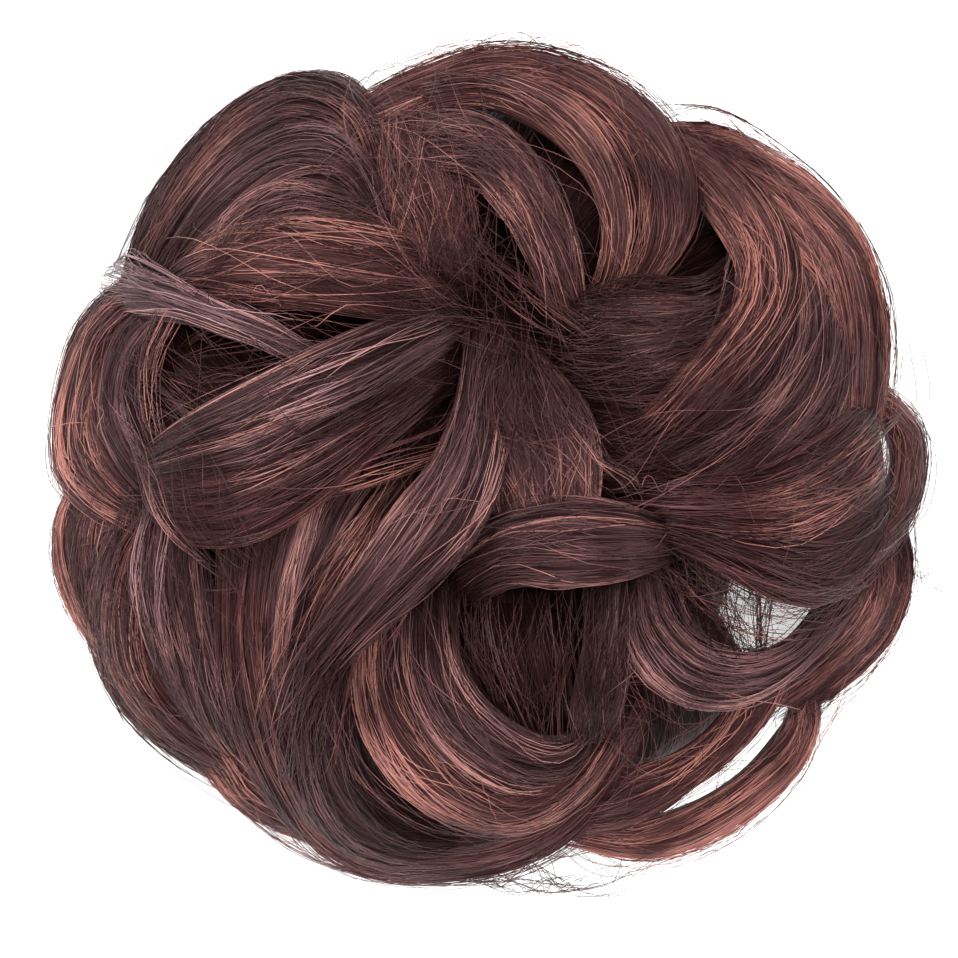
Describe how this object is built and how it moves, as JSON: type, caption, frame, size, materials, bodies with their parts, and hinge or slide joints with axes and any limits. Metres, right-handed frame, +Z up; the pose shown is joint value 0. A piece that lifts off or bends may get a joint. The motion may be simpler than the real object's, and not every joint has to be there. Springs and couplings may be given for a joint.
{
  "type": "top knot hairpiece",
  "caption": "Round messy-bun hairpiece of long curled false hair looped on an elastic ring, hollow below for the wearer's own knot.",
  "frame": {"origin": "middle of the surface that the bun rests on, at the centre of its box", "axes": "+Z up through the crown, +X and +Y across the bun; +Y is the side that is uppermost in the picture"},
  "size_m": [0.1487, 0.1415, 0.0559],
  "materials": {
    "elastic": "matt black covered elastic",
    "hair_black": "brown-black synthetic hair, satin",
    "hair_brown": "dark red-brown synthetic hair, satin",
    "hair_copper": "copper-brown synthetic hair, satin",
    "hair_plum": "plum-brown synthetic hair with a grey sheen"
  },
  "bodies": {
    "root": {"elastic_band": "elastic", "hair_core": "hair_black", "under_petal_1": "hair_black", "under_petal_2": "hair_black", "under_petal_3": "hair_black", "under_petal_4": "hair_black", "under_petal_5": "hair_black", "under_petal_6": "hair_black", "under_petal_7": "hair_black", "under_petal_8": "hair_black", "under_petal_9": "hair_black", "left_low_back": "hair_copper", "right_low_back": "hair_copper", "low_right_loop": "hair_copper", "ear_loop": "hair_copper", "small_lobe": "hair_brown", "top_left_outer": "hair_brown", "top_left_middle": "hair_plum", "top_left_inner": "hair_plum", "left_outer": "hair_copper", "left_inner": "hair_plum", "low_left_outer": "hair_brown", "low_left_inner": "hair_plum", "right_upper_outer": "hair_copper", "right_flank": "hair_plum", "right_inner_arcs": "hair_plum", "right_shadow": "hair_black", "top_outer": "hair_copper", "top_messy": "hair_brown", "top_inner_arc": "hair_copper", "top_bright": "hair_copper", "right_swirl": "hair_copper", "low_right_inner": "hair_brown", "low_centre": "hair_black", "low_light": "hair_plum", "right_low_swirl": "hair_plum", "right_fan": "hair_brown", "low_outer": "hair_copper", "low_grey": "hair_black", "low_swirl_inner": "hair_plum", "low_swirl_outer": "hair_copper", "left_copper": "hair_copper", "mid_copper": "hair_copper", "mid_sheen": "hair_plum", "mid_sweep": "hair_brown", "pale_lock": "hair_plum", "side_copper": "hair_copper", "big_curl_low": "hair_brown", "big_curl_high": "hair_plum", "centre_brush": "hair_copper", "cross_roll": "hair_plum", "centre_sweep": "hair_copper"}
  },
  "joints": []
}
